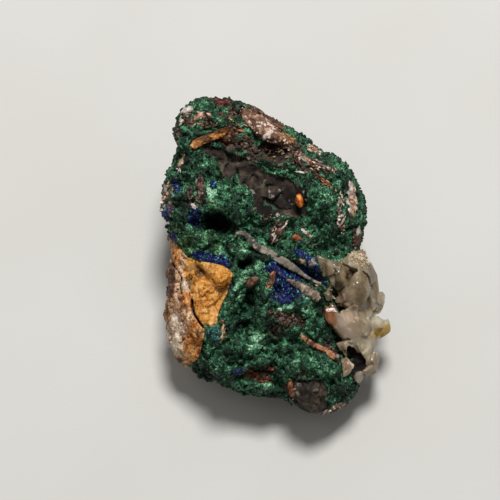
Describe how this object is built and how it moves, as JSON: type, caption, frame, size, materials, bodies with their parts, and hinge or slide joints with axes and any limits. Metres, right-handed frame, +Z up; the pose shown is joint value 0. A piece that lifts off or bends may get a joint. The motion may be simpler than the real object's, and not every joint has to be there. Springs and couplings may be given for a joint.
{
  "type": "azurite and malachite mineral specimen",
  "caption": "Rough hand-sized mineral specimen: dark host rock with a green malachite crust, blue azurite patches, ochre limonite, pale blades and a clear quartz cluster.",
  "frame": {"origin": "middle of the specimen's footprint, on the surface that it lies on", "axes": "+Z up from the flat break it rests on, +X towards the side with the quartz cluster, +Y towards the narrow end of the face, which leans back 20 degrees from level"},
  "size_m": [0.055, 0.0754, 0.0403],
  "materials": {
    "host_rock": "rough broken iron-stained rock",
    "malachite": "velvety crust of fine needles",
    "quartz": "smoky to milky clear crystal with glossy broken faces",
    "limonite": "earthy ochre, matt",
    "limonite_pale": "earthy buff and brown, matt",
    "blade_crystal": "satin, banded pale grey-brown",
    "brown_iron": "satin orange-brown",
    "vein_stone": "sugary pinkish white, slightly glossy",
    "azurite": "drusy deep blue, sparkling"
  },
  "bodies": {
    "root": {"matrix_rock": "host_rock", "malachite_crust": "malachite", "quartz_cluster": "quartz", "limonite_wedge": "limonite", "limonite_slab": "limonite_pale", "long_blade": "blade_crystal", "short_blade": "blade_crystal", "brown_blade": "brown_iron", "ochre_blade": "brown_iron", "pale_vein": "vein_stone", "azurite_centre": "azurite", "azurite_below": "azurite", "azurite_rim": "azurite", "azurite_left": "azurite"}
  },
  "joints": []
}
